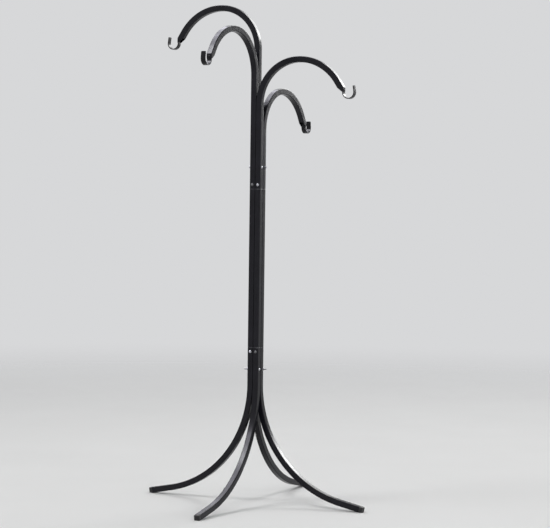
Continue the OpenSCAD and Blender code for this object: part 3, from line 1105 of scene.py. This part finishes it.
def bolt_mesh(length):
    """One bolt along +Z. Its head seats at Z 0 and lies below it."""
    crown = [(radius, -height - HEAD_RIM) for radius, height in dome(HEAD_R, HEAD_H - HEAD_RIM)]
    outline = [*reversed(crown), (HEAD_R, 0), (BOLT_R, 0), (BOLT_R, length - THREADED - PITCH)]
    ring_count = round(THREADED / PITCH * RINGS_PER_PITCH)
    for ring in range(ring_count + 1):
        outline.append((BOLT_R, length - THREADED + (THREADED - POINT) * ring / ring_count))
    outline += [(BOLT_R - POINT, length), (0, length)]
    blank = lathe("bolt", outline)
    marks = blank.attributes.new("threaded", "FLOAT", "POINT")
    start = length - THREADED
    for vert, mark in zip(blank.vertices, marks.data):
        on_shank = vert.co.z > start and vert.co.xy.length > BOLT_R - POINT / 2
        mark.value = min(1.0, (vert.co.z - start) / PITCH) if on_shank else 0.0
    bolt = new_piece("bolt_blank", blank)
    cutter = new_piece("recess_cutter", recess_cutter())
    recess = bolt.modifiers.new("recess", "BOOLEAN")
    recess.operation = "DIFFERENCE"
    recess.solver = "EXACT"
    recess.use_self = True
    recess.object = cutter
    run_tree(bolt, THREAD, {"Pitch": PITCH, "Depth": THREAD_DEPTH, "Material": zinc})
    mesh = freeze(bolt).data
    bpy.data.objects.remove(bolt)
    bpy.data.objects.remove(cutter)
    print("bolt of", round(length * 1000), "mm:", len(mesh.polygons), "faces")
    return shade(mesh)


# %% [markdown]
# The near pair of bolts runs front to back with the heads in front. The far pair runs across,
# one from each side, so that every line of tube is held in both directions.

# %% Set the bolts on their seats
def bolt_seats(joint, way):
    """The four seats of a junction: (place of the head's seat, axis towards the nut)."""
    seats = []
    for side in (-1, 1):
        near = Vector((side * TUBE_AXIS, -BUNDLE_FACE, joint + way * BOLT_NEAR))
        far = Vector((-side * BUNDLE_FACE, side * TUBE_AXIS, joint + way * BOLT_FAR))
        seats += [(near, Vector((0, 1, 0))), (far, Vector((side, 0, 0)))]
    return seats


# The second seed picks which bolts are painted darker, for tarnish and for painted shade on the
# heads.
junctions = {"upper": (UPPER_JOINT, 1, 11, 115), "lower": (LOWER_JOINT, -1, 23, 116)}
for name, (joint, way, seed, wear_and_shade_seed) in junctions.items():
    mesh = bolt_mesh(BOLT_LENGTHS[name])
    seats = bolt_seats(joint, way)
    piece = set_on_seats(name + "_bolt_set", mesh, seats, zinc, seed, wear_and_shade_seed)
    hand_over(piece, "zinc", name + "_bolts")

# %% [markdown]
# ## Rivets
#
# A blind rivet holds each hook in its channel. Outside it shows a low dome with the small
# hole that its mandrel leaves, and inside the hook a flat, closed tail.

# %% Make the rivets
RIVET_R = 0.0025
RIVET_HEAD_R = 0.005
RIVET_HEAD_H = 0.003
RIVET_TAIL_R = 0.00425
RIVET_TAIL_H = 0.0016
MANDREL_R = 0.0011
MANDREL_DEPTH = 0.0009
GRIP = WALL + HOOK_GAP + HOOK_T
SOFT = 0.0004

tail_end = -GRIP - RIVET_TAIL_H
outline = [
    (0, tail_end),
    (RIVET_TAIL_R - SOFT, tail_end),
    (RIVET_TAIL_R, tail_end + SOFT),
    (RIVET_TAIL_R, -GRIP),
    (RIVET_R, -GRIP),
    (RIVET_R, 0),
]
crown = [point for point in dome(RIVET_HEAD_R, RIVET_HEAD_H, 12) if point[0] > MANDREL_R]
brim = crown[-1][1]
outline += [*crown, (MANDREL_R, brim), (MANDREL_R, brim - MANDREL_DEPTH), (0, brim - MANDREL_DEPTH)]
rivet = shade(lathe("rivet", outline))

rivet_seats = []
for arm in arms.values():
    neck = Walker(arm.place - arm.side * TUBE / 2, arm.heading, arm.side)
    neck.bend(NECK_R + HOOK_T / 2 + HOOK_GAP + WALL, NECK_ANGLE)
    rivet_seats.append((neck.place + neck.heading * RIVET_DROP, -neck.side))
piece = set_on_seats("hook_rivet_set", rivet, rivet_seats, hook_paint, seed=5)
hand_over(piece, "hook_paint", "hook_rivets")

# %% [markdown]
# ## Nuts and washers
#
# A CAD solid with the right shape stays. The nuts and washers have their true hexagons, bores
# and chamfers already, so they only take the zinc.

# %% Give the nuts and washers their finish
for name in ("upper_washers", "lower_washers", "upper_nuts", "lower_nuts"):
    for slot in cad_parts[name].material_slots:
        slot.material = zinc
print("zinc on the nuts and washers")

# %% [markdown]
# ## Studio
#
# The stand is thin and black, so it reads best on a pale sweep. The floor is one large disc
# that keeps the shadow near the feet and turns clear further out, where the pale world shows
# through and hides the horizon. Light Path makes the world pale for the camera and for
# reflections, and keeps its light on the object at a plain level.

# %% The floor
FLOOR_R = 40.0
CLEAR_FROM = 2.2
CLEAR_TO = 9.0
floor_paint, tree = new_material("floor_paint")
place = own_place(tree)
reach = put(tree, "ShaderNodeVectorMath", {0: place}, operation="LENGTH").outputs["Value"]
clearing = spread(tree, reach, CLEAR_FROM, CLEAR_TO, 0.0, 1.0, interpolation_type="SMOOTHSTEP")
drift = group(tree, CLOUDS, {"Size": 0.6})
colour = mix_colour(tree, drift, (0.80, 0.80, 0.79, 1), (0.82, 0.82, 0.81, 1))
inputs = {"Base Color": colour, "Roughness": 0.95, "Specular IOR Level": 0.1}
matt = put(tree, "ShaderNodeBsdfPrincipled", inputs)
clear = put(tree, "ShaderNodeBsdfTransparent")
both = put(tree, "ShaderNodeMixShader", {0: clearing, 1: matt.outputs[0], 2: clear.outputs[0]})
put(tree, "ShaderNodeOutputMaterial", {"Surface": both.outputs[0]})

disc = bmesh.new()
bmesh.ops.create_circle(disc, cap_ends=True, segments=96, radius=FLOOR_R)
floor_mesh = end_bmesh(disc, "floor")
floor_mesh.materials.append(floor_paint)
floor = new_piece("floor", floor_mesh)
floor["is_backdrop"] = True
print("floor of", 2 * FLOOR_R, "m")

# %% The world
world = bpy.data.worlds.new("studio")
world.use_nodes = True
tree = world.node_tree
tree.nodes.clear()
rays = put(tree, "ShaderNodeLightPath").outputs
seen = math_node(tree, "MAXIMUM", rays["Is Camera Ray"], rays["Is Glossy Ray"])
seen = math_node(tree, "MAXIMUM", seen, rays["Is Transmission Ray"])
lit = put(tree, "ShaderNodeBackground", {"Color": (0.97, 0.98, 1.0, 1), "Strength": 0.45})
pale = put(tree, "ShaderNodeBackground", {"Color": (0.68, 0.685, 0.695, 1), "Strength": 1.0})
both = put(tree, "ShaderNodeMixShader", {0: seen, 1: lit.outputs[0], 2: pale.outputs[0]})
put(tree, "ShaderNodeOutputWorld", {"Surface": both.outputs[0]})
bpy.context.scene.world = world
print("world:", world.name)

# %% [markdown]
# Three soft lamps light the stand at a plain level: the main one high on the left, one low on
# the right for the side faces, and one behind for the upper edges. A lamp's power is spread
# over its face, so a box of a chosen brightness needs brightness times pi times its area.
#
# Black gloss paint shows its shape by what it mirrors. Outdoors that is a bright sky. Here an
# arch of long boxes on the left and a row of boxes behind stand for it, far off, so that they
# show in arms and legs alike. One low box nearer by adds the line along the right leg. They are
# hidden from diffuse light: they draw the bright lines and leave every colour as it is written.

# %% The lamps
MIDDLE = Vector((0, 0, 1.1))
SKY_FAR = 30.0
SKY_TINT = (0.90, 0.89, 1.0)


def soft_box(name, towards, along, distance, size, brightness, tint=(1, 1, 1), in_gloss_only=False):
    """A rectangular lamp that stands in one direction from the stand and looks at its middle."""
    data = bpy.data.lights.new(name, "AREA")
    data.shape = "RECTANGLE"
    data.size, data.size_y = size
    data.energy = brightness * math.pi * size[0] * size[1]
    data.color = tint
    lamp = bpy.data.objects.new(name, data)
    towards = towards.normalized()
    across = along.cross(towards).normalized()
    turn = Matrix((across, towards.cross(across), towards)).transposed()
    lamp.matrix_world = Matrix.Translation(MIDDLE + towards * distance) @ turn.to_4x4()
    lamp.visible_diffuse = not in_gloss_only
    bpy.context.scene.collection.objects.link(lamp)
    print(name, "at", [round(x, 1) for x in lamp.matrix_world.translation], round(data.energy), "W")


def far_box(*spans):
    """The size of a far box that spans these angles in degrees, across and along."""
    return [2 * SKY_FAR * math.tan(math.radians(span / 2)) for span in spans]


level = Vector((1, 0, 0))
soft_box("main_lamp", Vector((-2.8, -2.6, 5.3)), level, 6.5, (1.9, 1.9), 12)
soft_box("side_lamp", Vector((5.0, -1.5, 1.9)), Vector((0, 1, 0)), 5.5, (2.6, 2.6), 2.4)
soft_box("back_lamp", Vector((0.8, 4.4, 4.8)), level, 6.5, (2.2, 2.2), 7)

ARCH_X = -0.47
ARCH_R = math.sqrt(1 - ARCH_X**2)
ARCH_BOX = far_box(11, 32)
for number, (lean, brightness) in enumerate(((-34, 11), (2, 8), (38, 3.5))):
    tilt = math.radians(lean)
    towards = Vector((ARCH_X, ARCH_R * math.sin(tilt), ARCH_R * math.cos(tilt)))
    along = Vector((0, math.cos(tilt), -math.sin(tilt)))
    name = f"sky_arch_{number}"
    soft_box(name, towards, along, SKY_FAR, ARCH_BOX, brightness, SKY_TINT, in_gloss_only=True)

BACK_RISE = 0.47
BACK_BOX = far_box(15, 14)
for number, (side, brightness) in enumerate(((-8, 2.8), (6, 5.4), (20, 9))):
    turn = math.radians(side)
    towards = Vector((math.sin(turn), math.cos(turn), BACK_RISE))
    name = f"sky_back_{number}"
    soft_box(name, towards, level, SKY_FAR, BACK_BOX, brightness, in_gloss_only=True)
soft_box("sky_low", Vector((1.3, 6.0, 1.9)), level, 6.4, (3.0, 1.5), 9, in_gloss_only=True)

# %% [markdown]
# ## Last settings
#
# The Standard view transform shows a colour as it is written. Then the boxes of the imported
# model and of the dressed stand are printed side by side. The dressed stand may not outgrow
# the imported model.

# %% Set the view and print the boxes
bpy.context.scene.view_settings.view_transform = "Standard"
boxes = {"cad": [list(corner) for corner in cad_box], "visual": [list(c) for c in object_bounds()]}
for name, (low, high) in boxes.items():
    print(name, [round(x, 4) for x in low], [round(x, 4) for x in high])
